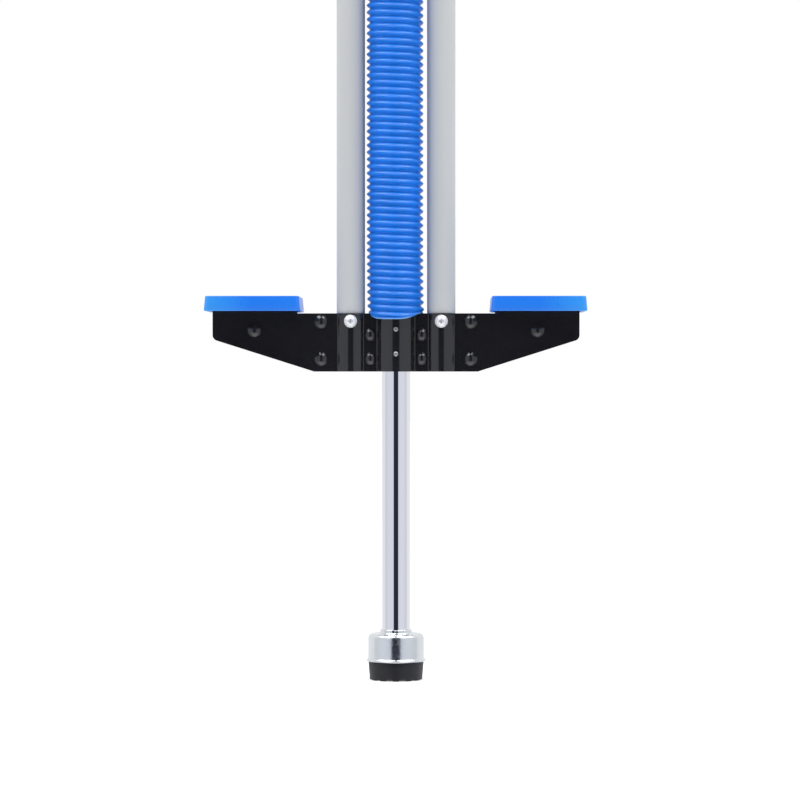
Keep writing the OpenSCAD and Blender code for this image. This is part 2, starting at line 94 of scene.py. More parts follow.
PAD_DRAFT = 0.9 * MM
PAD_WALL = 2.5 * MM
PAD_SKIN = 3 * MM
PAD_RIM = 7 * MM
TREAD_PITCH = 6 * MM
TREAD_W = 4 * MM
TREAD_H = 0.8 * MM

NOTCHES = 12
NOTCH_W = 5 * MM
NOTCH_H = 1.4 * MM

CAMERA_PLACE = (0.030, -2.5, 0.2435)
CAMERA_AIM = (0.0031, 0, 0.2192)
LENS_MM = 143.5
SENSOR_MM = 36

SOFTBOX_X = 1.32
SOFTBOX_Y = -0.45
SOFTBOX_Z = 2.7
SOFTBOX_SIZE = (2.4, 1.35)
SOFTBOX_WATTS = 51
FLOOR_HALF = 12.0


def size(node):
    """Lowest corner, highest corner and centre of a CAD node."""
    low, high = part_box(node)
    return low, high, (low + high) / 2


# ------------------------------------------------------------------ mesh helpers


def make_object(name, verts, faces, material, body, sharp=40):
    """A smooth-shaded mesh that rides on a body; edges over sharp degrees stay crisp."""
    mesh = bpy.data.meshes.new(name)
    mesh.from_pydata(verts, [], faces)
    mesh.validate()
    bm = bmesh.new()
    bm.from_mesh(mesh)
    bmesh.ops.recalc_face_normals(bm, faces=bm.faces)
    bm.to_mesh(mesh)
    bm.free()
    mesh.polygons.foreach_set("use_smooth", [True] * len(mesh.polygons))
    mesh.set_sharp_from_angle(angle=math.radians(sharp))
    mesh.materials.append(material)
    obj = bpy.data.objects.new(name, mesh)
    bpy.context.scene.collection.objects.link(obj)
    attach(obj, body)
    return obj


def add_modifier(obj, kind, **settings):
    modifier = obj.modifiers.new(kind.title(), kind)
    for key, value in settings.items():
        setattr(modifier, key, value)
    return modifier


def apply_modifiers(obj):
    """Bakes the modifiers into the mesh, so that it exports as it renders."""
    graph = bpy.context.evaluated_depsgraph_get()
    mesh = bpy.data.meshes.new_from_object(obj.evaluated_get(graph))
    obj.modifiers.clear()
    obj.data = mesh


def arc(centre, radius, start, end, steps):
    """Points on an arc, angles in degrees."""
    angles = [math.radians(start + (end - start) * i / steps) for i in range(steps + 1)]
    return [(centre[0] + radius * math.cos(a), centre[1] + radius * math.sin(a)) for a in angles]


def spread(start, end, steps):
    return [start + (end - start) * i / steps for i in range(steps + 1)]


def smooth_step(share):
    share = max(0.0, min(1.0, share))
    return share * share * (3 - 2 * share)


def grid_faces(rows, columns, wrap_rows=False, wrap_columns=False):
    """Quads between rows of vertices that were added one row after another."""
    faces = []
    for i in range(rows if wrap_rows else rows - 1):
        here = i * columns
        there = (i + 1) % rows * columns
        for k in range(columns if wrap_columns else columns - 1):
            up = (k + 1) % columns
            faces.append((here + k, there + k, there + up, here + up))
    return faces


def add_box(verts, faces, low, high, taper=0.0):
    """A box whose top is narrower by taper on every side."""
    s = len(verts)
    for z, t in ((low[2], 0.0), (high[2], taper)):
        verts += [(low[0] + t, low[1] + t, z), (high[0] - t, low[1] + t, z),
                  (high[0] - t, high[1] - t, z), (low[0] + t, high[1] - t, z)]
    faces += [(s, s + 3, s + 2, s + 1), (s + 4, s + 5, s + 6, s + 7)]
    faces += [(s + k, s + (k + 1) % 4, s + 4 + (k + 1) % 4, s + 4 + k) for k in range(4)]


# ------------------------------------------------------------------ materials


def math_node(tree, operation, *values):
    node = tree.nodes.new("ShaderNodeMath")
    node.operation = operation
    for socket, value in zip(node.inputs, values):
        if isinstance(value, bpy.types.NodeSocket):
            tree.links.new(value, socket)
        else:
            socket.default_value = value
    return node.outputs[0]


def ramp_node(tree, field, stops):
    node = tree.nodes.new("ShaderNodeValToRGB")
    elements = node.color_ramp.elements
    while len(elements) < len(stops):
        elements.new(0.5)
    for element, (place, color) in zip(elements, stops):
        element.position = place
        element.color = (*color, 1)
    tree.links.new(field, node.inputs["Fac"])
    return node.outputs["Color"]


def mix_node(tree, factor, a, b):
    """Mixes colours a and b; each value is a socket, a colour or a number."""
    node = tree.nodes.new("ShaderNodeMix")
    node.data_type = "RGBA"
    for key, value in (("Factor", factor), ("A", a), ("B", b)):
        socket = node.inputs[key]
        if isinstance(value, bpy.types.NodeSocket):
            tree.links.new(value, socket)
        elif isinstance(value, tuple):
            socket.default_value = (*value, 1)
        else:
            socket.default_value = value
    return node.outputs["Result"]


class Shader:
    """A node material with the few building blocks that the finishes share."""

    def __init__(self, name, color, roughness, metallic=0.0, **sockets):
        self.material = bpy.data.materials.new(name)
        self.material.use_nodes = True
        self.tree = self.material.node_tree
        self.bsdf = self.tree.nodes["Principled BSDF"]
        self.bsdf.inputs["Base Color"].default_value = (*color, 1)
        self.bsdf.inputs["Roughness"].default_value = roughness
        self.bsdf.inputs["Metallic"].default_value = metallic
        for key, value in sockets.items():
            self.bsdf.inputs[key.replace("_", " ")].default_value = value
        self.color = color
        self.roughness = roughness
        self.coords = self.tree.nodes.new("ShaderNodeTexCoord").outputs["Object"]
        self.relief = None

    def noise(self, scale, detail=3.0, stretch=(1, 1, 1)):
        """A noise field from 0 to 1; stretch scales the coordinates along each axis."""
        mapping = self.tree.nodes.new("ShaderNodeMapping")
        mapping.inputs["Scale"].default_value = stretch
        self.tree.links.new(self.coords, mapping.inputs["Vector"])
        node = self.tree.nodes.new("ShaderNodeTexNoise")
        node.inputs["Scale"].default_value = scale
        node.inputs["Detail"].default_value = detail
        self.tree.links.new(mapping.outputs["Vector"], node.inputs["Vector"])
        return node.outputs["Fac"]

    def ramp(self, field, low, high, start=0.3, end=0.7):
        """Turns a field into numbers from low to high."""
        node = self.tree.nodes.new("ShaderNodeMapRange")
        node.inputs["From Min"].default_value = start
        node.inputs["From Max"].default_value = end
        node.inputs["To Min"].default_value = low
        node.inputs["To Max"].default_value = high
        self.tree.links.new(field, node.inputs["Value"])
        return node.outputs["Result"]

    def vary_color(self, field, low, high):
        """Mixes from color times low to color times high by a field."""
        dark = tuple(c * low for c in self.color)
        light = tuple(min(1, c * high) for c in self.color)
        color = mix_node(self.tree, self.ramp(field, 0, 1), dark, light)
        self.tree.links.new(color, self.bsdf.inputs["Base Color"])

    def paint_lit_ends(self, start, end, lit_color):
        """Paints light on the ends: mixes to a paler colour from start to end on the X axis, either way,
        with a little mottle.
        """
        split = self.tree.nodes.new("ShaderNodeSeparateXYZ")
        self.tree.links.new(self.coords, split.inputs[0])
        out = math_node(self.tree, "ABSOLUTE", split.outputs[0])
        share = self.ramp(out, 0, 0.85, start, end)
        mottle = self.ramp(self.noise(25, 2), 0.0, 0.08)
        share = math_node(self.tree, "ADD", share, mottle)
        color = mix_node(self.tree, share, self.color, lit_color)
        self.tree.links.new(color, self.bsdf.inputs["Base Color"])

    def vary_roughness(self, field, spread):
        low = max(0.01, self.roughness - spread)
        high = self.roughness + spread
        self.tree.links.new(self.ramp(field, low, high), self.bsdf.inputs["Roughness"])

    def bump(self, field, height):
        """Adds relief of that height in metres."""
        node = self.tree.nodes.new("ShaderNodeBump")
        node.inputs["Strength"].default_value = 1.0
        node.inputs["Distance"].default_value = height
        self.tree.links.new(field, node.inputs["Height"])
        if self.relief is not None:
            self.tree.links.new(self.relief, node.inputs["Normal"])
        self.relief = node.outputs["Normal"]
        self.tree.links.new(self.relief, self.bsdf.inputs["Normal"])


DRAWN = (1, 1, 0.02)              # stretches a noise into lines along Z


def tube_paint():
    s = Shader("tube_paint", (0.47, 0.485, 0.485), 0.5, 0.0, Specular_IOR_Level=0.3)
    s.vary_color(s.noise(30, 4, (1, 1, 0.15)), 0.98, 1.02)
    s.vary_roughness(s.noise(420, 2), 0.04)
    s.bump(s.noise(1500, 2), 0.004 * MM)
    return s.material


def bracket_paint():
    s = Shader("bracket_paint", (0.0092, 0.0092, 0.011), 0.14, Coat_Weight=0.3, Coat_Roughness=0.08)
    s.vary_color(s.noise(25), 0.85, 1.2)
    s.vary_roughness(s.noise(260, 3), 0.03)
    s.bump(s.noise(420, 3), 0.006 * MM)
    return s.material


def chrome(name, roughness, color=(0.88, 0.88, 0.92)):
    s = Shader(name, color, roughness, 1.0)
    s.vary_color(s.noise(60, 3, DRAWN), 0.97, 1.02)
    s.vary_roughness(s.noise(700, 3, DRAWN), roughness * 0.4)
    return s.material


def cup_chrome():
    s = Shader("cup_chrome", (0.81, 0.84, 0.86), 0.22, 1.0)
    s.vary_color(s.noise(90, 3), 0.96, 1.02)
    s.vary_roughness(s.noise(350, 4), 0.06)
    s.bump(s.noise(260, 3), 0.012 * MM)
    return s.material


def plain_metal(name, color, roughness, stretch=(1, 1, 1), metallic=1.0):
    s = Shader(name, color, roughness, metallic)
    s.vary_color(s.noise(120), 0.9, 1.06)
    s.vary_roughness(s.noise(900, 3, stretch), 0.08)
    s.bump(s.noise(1400, 2, stretch), 0.006 * MM)
    return s.material


def sleeve_plastic(name, color):
    s = Shader(name, color, 0.36, Specular_IOR_Level=0.6)
    s.vary_color(s.noise(45, 3), 0.92, 1.08)
    s.vary_roughness(s.noise(200, 3), 0.05)
    s.bump(s.noise(300, 3), 0.012 * MM)
    return s.material


def pad_plastic():
    s = Shader("pad_plastic", (0.011, 0.168, 0.725), 0.3, Specular_IOR_Level=0.5)
    # painted light: each pad's outer end turns paler, standing in for side light that comes in through
    # the end walls
    s.paint_lit_ends(112 * MM, 152 * MM, (0.035, 0.30, 0.76))
    s.vary_roughness(s.noise(180, 3), 0.03)
    s.bump(s.noise(1400, 2), 0.0025 * MM)
    return s.material


def rubber(name, color, roughness, grain=700):
    s = Shader(name, color, roughness, Sheen_Weight=0.04, Sheen_Roughness=0.5)
    s.vary_color(s.noise(60), 0.85, 1.2)
    s.vary_roughness(s.noise(240, 3), 0.07)
    s.bump(s.noise(grain, 3), 0.03 * MM)
    return s.material


def matte_plastic(name, color, roughness):
    s = Shader(name, color, roughness)
    s.vary_color(s.noise(50), 0.92, 1.06)
    s.vary_roughness(s.noise(300, 3), 0.06)
    s.bump(s.noise(1300, 2), 0.012 * MM)
    return s.material


FINISH = {
    "tube_paint": tube_paint(),
    "bracket_paint": bracket_paint(),
    "chrome": chrome("chrome", 0.03),
    "bright_steel": plain_metal("bright_steel", (0.62, 0.63, 0.65), 0.28, DRAWN),
    "zinc_steel": plain_metal("zinc_steel", (0.80, 0.81, 0.82), 0.5, metallic=0.45),
    "rivet_alloy": plain_metal("rivet_alloy", (0.36, 0.36, 0.37), 0.45),
    "spring_steel": plain_metal("spring_steel", (0.06, 0.06, 0.07), 0.35),
    "pad_plastic": pad_plastic(),
    "sleeve_plastic": sleeve_plastic("sleeve_plastic", (0.004, 0.17, 0.675)),
    "grip_rubber": rubber("grip_rubber", (0.008, 0.125, 0.55), 0.42),
    "black_rubber": rubber("black_rubber", (0.02, 0.02, 0.021), 0.6),
    "tip_rubber": rubber("tip_rubber", (0.005, 0.005, 0.007), 0.5),
    "black_plastic": matte_plastic("black_plastic", (0.018, 0.018, 0.02), 0.42),
    "nylon": matte_plastic("nylon", (0.72, 0.71, 0.66), 0.38),
}
CUP_CHROME = cup_chrome()
# painted highlight: a much paler blue than the sleeve, standing in for the light that the rolled rim
# catches from below
HEM_HIGHLIGHT = sleeve_plastic("sleeve_hem_highlight", (0.20, 0.42, 0.78))


def paint_cad_nodes():
    """Gives every carried-over CAD node the finish of its slot in the record."""
    for part in frame["record"]["subparts"]:
        mesh = frame["nodes"][part["node"]].data
        mesh.materials.clear()
        mesh.materials.append(FINISH[part["material_slot"]])


# ------------------------------------------------------------------ corrugated sleeve


def ridge(phase):
    """Depth from 0 on a ridge to 1 in a valley: a narrow round crest and a wide valley."""
    soft = 0.22
    wave = math.sin(math.pi * phase)
    return (math.sqrt(wave * wave + soft * soft) - soft) / (math.sqrt(1 + soft * soft) - soft)


def build_sleeve():
    """One left-hand helical corrugation: its rows follow the helix, so each turn joins the next."""
    low, high, _ = size("corrugated_sleeve")
    radius = (high.x - low.x) / 2
    around, rows = 72, 12
    turns = math.ceil((high.z - low.z) / RIDGE_PITCH) + 3
    start = low.z - RIDGE_PITCH * RIDGE_START
    verts, faces = [], []
    for i in range(turns * around + 1):
        a = -TURN * i / around
        for k in range(rows):
            r = radius - RIDGE_DEPTH * ridge(k / rows)
            z = start + RIDGE_PITCH * (i / around + k / rows)
            verts.append((r * math.cos(a), r * math.sin(a), z))
    for i in range(turns * around):
        for k in range(rows - 1):
            j = i * rows + k
            faces.append((j, j + rows, j + rows + 1, j + 1))
        if i + around < turns * around:
            j = i * rows + rows - 1
            up = (i + around) * rows
            faces.append((j, j + rows, up + rows, up))
    sleeve = make_object("corrugated_tube", verts, faces, FINISH["sleeve_plastic"], "frame",
                         sharp=70)
    trim(sleeve, high.z, 1)
    shift_by_droop(sleeve.data.vertices, 1)
    trim(sleeve, low.z, -1)
    gather(sleeve.data.vertices, low.z, radius - HEM_INSET)
    shift_by_droop(sleeve.data.vertices, -1)
    lean(sleeve.data.vertices, low.z, high.z)
    add_modifier(sleeve, "SOLIDIFY", thickness=SLEEVE_WALL, offset=-1)
    apply_modifiers(sleeve)
    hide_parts("corrugated_sleeve")
    build_hem(low.z, high.z, radius)


def build_hem(low, high, radius):
    """The sleeve's rolled lower end, in a paler blue that paints a highlight along its rim."""
    around, sides = 96, 8
    thick = 0.6 * MM
    middle = low + 0.2 * MM
    verts = []
    for i in range(around):
        a = TURN * i / around
        for k in range(sides):
            b = TURN * k / sides
            r = radius - HEM_INSET + thick * math.cos(b)
            verts.append((r * math.cos(a), r * math.sin(a), middle + thick * math.sin(b)))
    faces = grid_faces(around, sides, wrap_rows=True, wrap_columns=True)
    hem = make_object("sleeve_hem", verts, faces, HEM_HIGHLIGHT, "frame", sharp=70)
    shift_by_droop(hem.data.vertices, -1)
    lean(hem.data.vertices, low, high)


def trim(obj, z, side):
    """Cuts a mesh off square at a height; side 1 drops what is above it and -1 what is below."""
    bm = bmesh.new()
    bm.from_mesh(obj.data)
    bmesh.ops.bisect_plane(bm, geom=bm.verts[:] + bm.edges[:] + bm.faces[:], plane_co=(0, 0, z),
                           plane_no=(0, 0, side), dist=1e-7, clear_outer=True)
    bm.to_mesh(obj.data)
    bm.free()


def shift_by_droop(vertices, sign):
    """Moves points by how far the lower end hangs there: over the channel, front and back.

    A square cut between a shift up and a shift down leaves the ridges level and the end curved.
    """
    tilt = math.radians(12)
    sides = 0.25                      # the sides, which face less than this, don't hang
    for v in vertices:
        facing = abs(v.co.y * math.cos(tilt) + v.co.x * math.sin(tilt)) / math.hypot(v.co.x, v.co.y)
        v.co.z += sign * SLEEVE_DROOP * smooth_step((facing - sides) / (1 - sides))


def gather(vertices, low, radius):
    """Brings the last of the wall to the radius of the rolled end."""
    reach = 2.2 * MM
    for v in vertices:
        share = 1 - smooth_step((v.co.z - low) / reach)
        scale = 1 + share * (radius / math.hypot(v.co.x, v.co.y) - 1)
        v.co.x *= scale
        v.co.y *= scale


def lean(vertices, low, high):
    """Lets the middle lean to the left."""
    settle = 14 * MM
    for v in vertices:
        lower = math.exp(-max(0.0, v.co.z - low) / settle)
        upper = math.exp(-max(0.0, high - v.co.z) / settle)
        v.co.x -= SLEEVE_LEAN * (1 - min(1.0, lower + upper))


# ------------------------------------------------------------------ coil spring


def build_spring():
    """The wire as a tube along its helix."""
    low, high, _ = size("coil_spring")
    radius = (high.x - low.x) / 2 - WIRE_R
    first, last = low.z + WIRE_R, high.z - WIRE_R
    open_pitch = (last - first - 2 * CLOSED_TURNS * CLOSED_PITCH) / (SPRING_TURNS - 2 * CLOSED_TURNS)
    around, sides = 24, 10

    def height(t):
        if t < CLOSED_TURNS:
            return first + t * CLOSED_PITCH
        if t > SPRING_TURNS - CLOSED_TURNS:
            return last - (SPRING_TURNS - t) * CLOSED_PITCH
        return first + CLOSED_TURNS * CLOSED_PITCH + (t - CLOSED_TURNS) * open_pitch

    verts, faces = [], []
    steps = SPRING_TURNS * around
    for i in range(steps + 1):
        a = TURN * i / around
        z = height(i / around)
        for k in range(sides):
            b = TURN * k / sides
            r = radius + WIRE_R * math.cos(b)
            verts.append((r * math.cos(a), r * math.sin(a), z + WIRE_R * math.sin(b)))
    faces = grid_faces(steps + 1, sides, wrap_columns=True)
    faces += [tuple(range(sides)), tuple(steps * sides + k for k in reversed(range(sides)))]
    spring = make_object("spring_wire", verts, faces, FINISH["spring_steel"], "frame")
    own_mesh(spring)
    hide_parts("coil_spring")


# ------------------------------------------------------------------ stamped brackets


def fillet_points(centre, radius, side, steps=5):
    """Where a plate turns from its bulge of that radius at x = centre into its flat."""
    reach = radius + PLATE_FILLET
    deep = FLAT_Y + PLATE_FILLET
    off = math.sqrt(reach * reach - deep * deep)
    to_bulge = math.degrees(math.atan2(deep, -side * off))
    return off, arc((centre + side * off, -deep), PLATE_FILLET, to_bulge, 90, steps)


def bulge_points(centre, radius, steps):
    """A whole bulge from its left fillet to its right one."""
    off, right = fillet_points(centre, radius, 1)
    _, left = fillet_points(centre, radius, -1)
    deep = FLAT_Y + PLATE_FILLET
    half = math.degrees(math.atan2(off, deep))
    crown = arc((centre, 0), radius, -90 - half, -90 + half, steps)
    return left[::-1][:-1] + crown + right[1:]


def plate_path(stops):
    """Middle line of a front plate, seen from above; stops are the outer flats' columns."""
    low, high, _ = size("right_side_tube")
    tube_x = low.x + (high.y - low.y) / 2
    middle = bulge_points(0, CHANNEL_R, 24)
    right = bulge_points(tube_x, BULGE_R, 20)
    left = [(-x, y) for x, y in reversed(right)]
    outer = [(x, -FLAT_Y) for x in stops]
    return [(-x, y) for x, y in reversed(outer)] + left + middle + right + outer


def build_plate(name, node, path, low_edge, high_edge, tab=None):
    """A bent plate: one column of mesh for each point of its path, then its tabs, then its thickness."""
    verts = []
    for x, y in path:
        bottom = low_edge(abs(x))
        top = high_edge(abs(x))
        inner = spread(bottom + EDGE_ROW, top - EDGE_ROW, PLATE_ROWS - 3)
        verts += [(x, y, z) for z in [bottom] + inner + [top]]
    faces = grid_faces(len(path), PLATE_ROWS)
    if tab:
        for side in (-1, 1):
            columns = [i for i, p in enumerate(path) if side * p[0] > TAB_X - 1e-6]
            add_tab(verts, faces, path, columns, tab)
    if size(node)[2].y > 0:
        verts = [(x, -y, z) for x, y, z in verts]
    plate = make_object(name, verts, faces, FINISH["bracket_paint"], "frame",
                        sharp=60)
    add_modifier(plate, "SOLIDIFY", thickness=SHEET, offset=0, use_even_offset=True)
    add_modifier(plate, "BEVEL", width=EDGE_BEVEL, segments=2, limit_method="ANGLE",
                 angle_limit=math.radians(60))
    apply_modifiers(plate)
    plate.data.set_sharp_from_angle(angle=math.radians(35))
    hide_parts(node)


def add_tab(verts, faces, path, columns, tab):
    """Carries the columns of a wing up, round the bend and out along the flange."""
    bend_y = -FLAT_Y - FLANGE_BEND_R
    bend = arc((bend_y, tab - FLANGE_BEND_R), FLANGE_BEND_R, 0, 90, 6)
    stride = 4 * MM
    straight = [bend_y - step * stride for step in range(1, 6)]
    corner_y = FLANGE_Y - FLANGE_CORNER_R
    corner = [-corner_y - FLANGE_CORNER_R * math.sin(math.radians(a)) for a in (0, 20, 40, 60, 75, 90)]
    line = bend + [(y, tab) for y in straight + corner]
    xs = [path[i][0] for i in columns]
    inner = min(xs, key=abs)
    outer = max(xs, key=abs)
    middle = (inner + outer) / 2
    previous = [i * PLATE_ROWS + PLATE_ROWS - 1 for i in columns]
    for y, z in line:
        past = max(0.0, -y - corner_y)
        cut = FLANGE_CORNER_R - math.sqrt(max(0.0, FLANGE_CORNER_R ** 2 - past ** 2))
        share = 1 - 2 * cut / abs(outer - inner)
        here = len(verts)
        verts += [(middle + (x - middle) * share, y, z) for x in xs]
        for i in range(len(xs) - 1):
            faces.append((previous[i], previous[i + 1], here + i + 1, here + i))
        previous = list(range(here, here + len(xs)))


def build_foot_brackets():
    low, high, _ = size("front_foot_bracket")
    wing = high.x
    gap_to_sleeve = 0.1 * MM
    foot_top = size("corrugated_sleeve")[0].z - gap_to_sleeve
    lean = math.atan2(WING_LOW, wing - SLANT_X)
    turn = (math.pi / 2 - lean) / 2
    corner_z = low.z + WING_LOW + WING_CORNER_R * math.tan(turn)
    corner_x = wing - WING_CORNER_R
    tangent_x = corner_x + WING_CORNER_R * math.sin(lean)

    def low_edge(x):
        if x <= SLANT_X:
            return low.z
        if x < tangent_x:
            return low.z + (x - SLANT_X) * math.tan(lean)
        return corner_z - math.sqrt(max(0.0, WING_CORNER_R ** 2 - (x - corner_x) ** 2))

    corner = [corner_x + WING_CORNER_R * math.sin(angle) for angle in spread(lean, math.pi / 2, 5)]
    stops = list(FOOT_COLUMNS) + spread(TAB_X, tangent_x, 12)[:-1] + corner
    tab = size("right_foot_pad")[1].z - FLANGE_DROP - SHEET / 2
    for place in ("front", "rear"):
        build_plate(place + "_foot_plate", place + "_foot_bracket", plate_path(stops), low_edge,
                    lambda x: foot_top, tab)


def build_head_brackets():
    low, high, _ = size("front_head_bracket")
    start = high.x - HEAD_CORNER_R

    def inset(x):
        past = max(0.0, x - start)
        return HEAD_CORNER_R - math.sqrt(max(0.0, HEAD_CORNER_R ** 2 - past ** 2))

    corner = [start + HEAD_CORNER_R * math.sin(math.radians(a)) for a in (0, 18, 36, 54, 72, 84, 90)]
    path = plate_path([HEAD_COLUMN] + corner)
    for place in ("front", "rear"):
        build_plate(place + "_head_plate", place + "_head_bracket", path,
                    lambda x: low.z + inset(x), lambda x: high.z - inset(x))


# ------------------------------------------------------------------ foot pads


def rounded_loop(centre, width, depth, radius, z, steps=5):
    """A rounded rectangle as one closed row of vertices."""
    x, y = width / 2 - radius, depth / 2 - radius
    points = []
    for sx, sy, start in ((1, 1, 0), (-1, 1, 90), (-1, -1, 180), (1, -1, 270)):
        points += arc((sx * x, sy * y), radius, start, start + 90, steps)
    return [(centre.x + px, centre.y + py, z) for px, py in points]


def build_pad(name, node):
    """A moulded pad: one skin from the hollow underside round to the tread, with ribs on both."""
    low, high, centre = size(node)
    width = high.x - low.x
    depth = high.y - low.y
    corner = 3 * MM
    inside = max(0.4 * MM, corner - PAD_WALL)
    edge = 0.8 * MM                   # rounding of the tread's edge
    lip = 0.7 * MM                    # rounding of the lower edge
    margin = 3 * MM                   # keeps the roof's and the tread's flat shading off their rims
    quarter = math.pi / 2
    steps = [(PAD_WALL + margin, high.z - PAD_SKIN, inside), (PAD_WALL, high.z - PAD_SKIN, inside),
             (PAD_WALL, low.z + lip, inside)]
    steps += [(PAD_WALL - lip * (1 - math.cos(a)), low.z + lip * (1 - math.sin(a)), inside)
              for a in (0.5, 1.1, quarter)]
    steps += [(lip * (1 - math.sin(a)), low.z + lip * (1 - math.cos(a)), corner)
              for a in (0, 0.5, 1.0, quarter)]
    steps += [(PAD_DRAFT / 2, centre.z, corner)]
    steps += [(PAD_DRAFT + edge * (1 - math.cos(a)), high.z - edge * (1 - math.sin(a)), corner)
              for a in (0, 0.4, 0.8, 1.2, quarter)]
    steps += [(PAD_RIM, high.z, corner), (PAD_RIM + 0.3 * MM, high.z - TREAD_H, corner),
              (PAD_RIM + margin, high.z - TREAD_H, corner)]
    verts = []
    for inset, z, radius in steps:
        verts += rounded_loop(centre, width - 2 * inset, depth - 2 * inset, radius, z)
    count = len(verts) // len(steps)
    faces = grid_faces(len(steps), count, wrap_columns=True)
    faces += [tuple(reversed(range(count))), tuple(range(len(verts) - count, len(verts)))]
    add_tread(verts, faces, centre, width, depth, high.z)
    add_underside(verts, faces, low, high, centre)
    pad = make_object(name, verts, faces, FINISH["pad_plastic"], "frame", sharp=38)
    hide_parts(node)


def add_tread(verts, faces, centre, width, depth, top):
    """Bars along Y, cut across in the middle, that stand up from the tread's floor."""
    count = int((width / 2 - PAD_RIM - TREAD_W) / TREAD_PITCH)
    reach = depth / 2 - PAD_RIM - 2 * MM
    cut = 1.2 * MM
    sunk = 0.2 * MM
    taper = 0.45 * MM
    for i in range(-count, count + 1):
        x = centre.x + i * TREAD_PITCH
        for start, end in ((-reach, -cut), (cut, reach)):
            add_box(verts, faces, (x - TREAD_W / 2, start, top - TREAD_H - sunk),
                    (x + TREAD_W / 2, end, top), taper)


def add_underside(verts, faces, low, high, centre):
    """Ribs that rest on the flanges: three thin ones along Y and two broad ones along X."""
    sunk = 0.3 * MM                   # how far the ribs reach into the pad's walls and roof
    foot = high.z - FLANGE_DROP
    roof = high.z - PAD_SKIN + sunk
    thin, broad = 1.2 * MM, 4 * MM
    for x in (-20 * MM, 0, 20 * MM):
        rib = centre.x + x
        add_box(verts, faces, (rib - thin, low.y + PAD_WALL - sunk, foot),
                (rib + thin, high.y - PAD_WALL + sunk, roof))
    for y in (-25 * MM, 25 * MM):
        add_box(verts, faces, (low.x + PAD_WALL - sunk, y - broad, foot + 0.05 * MM),
                (high.x - PAD_WALL + sunk, y + broad, roof))


# ------------------------------------------------------------------ cup, tip and grips


def turned(outline, segments, shape=None):
    """Turns a closed outline of (radius, height) round Z; shape may move each point."""
    verts = []
    for i in range(segments):
        a = TURN * i / segments
        for r, z in outline:
            if shape:
                r, z = shape(r, z, a)
            verts.append((r * math.cos(a), r * math.sin(a), z))
    return verts, grid_faces(segments, len(outline), wrap_rows=True, wrap_columns=True)


def build_cup():
    """Pressed cup. Its neck is crimped on the piston tube, which leaves the ring wrinkled."""
    low, high, _ = size("foot_cup")
    lip_r = (high.x - low.x) / 2
    cup_r = lip_r - 1.4 * MM
    neck_r = 12.6 * MM
    bore = size("piston_tube")[1].x + 0.05 * MM
    top = high.z - 3 * MM             # the shoulder, below the crimped ring
    shoulder_r = 4 * MM
    wall = 1.5 * MM
    outline = [(bore, high.z - 0.3 * MM), (bore + 0.3 * MM, high.z)]
    outline += arc((neck_r - 0.7 * MM, high.z - 0.7 * MM), 0.7 * MM, 80, 0, 4)
    outline += [(neck_r, high.z - 1.6 * MM), (neck_r, top + 1.0 * MM)]
    outline += arc((neck_r + 0.8 * MM, top + 0.8 * MM), 0.8 * MM, 190, 270, 4)
    outline += [(neck_r + 2.5 * MM, top)]
    outline += arc((cup_r - shoulder_r, top - shoulder_r), shoulder_r, 90, 0, 10)
    outline += [(cup_r, z) for z in spread(top - 6 * MM, low.z + 3.6 * MM, 3)]
    outline += arc((cup_r + 0.9 * MM, low.z + 2.9 * MM), 0.9 * MM, 180, 240, 3)
    outline += arc((lip_r - 1.1 * MM, low.z + 1.1 * MM), 1.1 * MM, 70, -90, 9)
    inner_r = shoulder_r - wall
    outline += [(cup_r - wall, low.z), (cup_r - wall, top - shoulder_r)]
    outline += arc((cup_r - wall - inner_r, top - shoulder_r), inner_r, 0, 90, 5)
    outline += [(bore, top - wall)]
    closest = 0.02 * MM
    clean = [p for i, p in enumerate(outline) if i == 0 or math.dist(p, outline[i - 1]) > closest]

    def crimp(r, z, a):
        above = smooth_step((z - top - 0.3 * MM) / MM)
        outside = smooth_step((r - bore - 0.4 * MM) / (0.6 * MM))
        share = above * outside * MM
        spot = Vector((math.cos(a) * 5, math.sin(a) * 5, z * 260))
        return r + share * (0.55 * noise.noise(spot) - 0.15), z + share * 0.35 * noise.noise(spot * 0.7)

    verts, faces = turned(clean, 192, crimp)
    cup = make_object("pressed_cup", verts, faces, CUP_CHROME, "piston", 50)
    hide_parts("foot_cup")


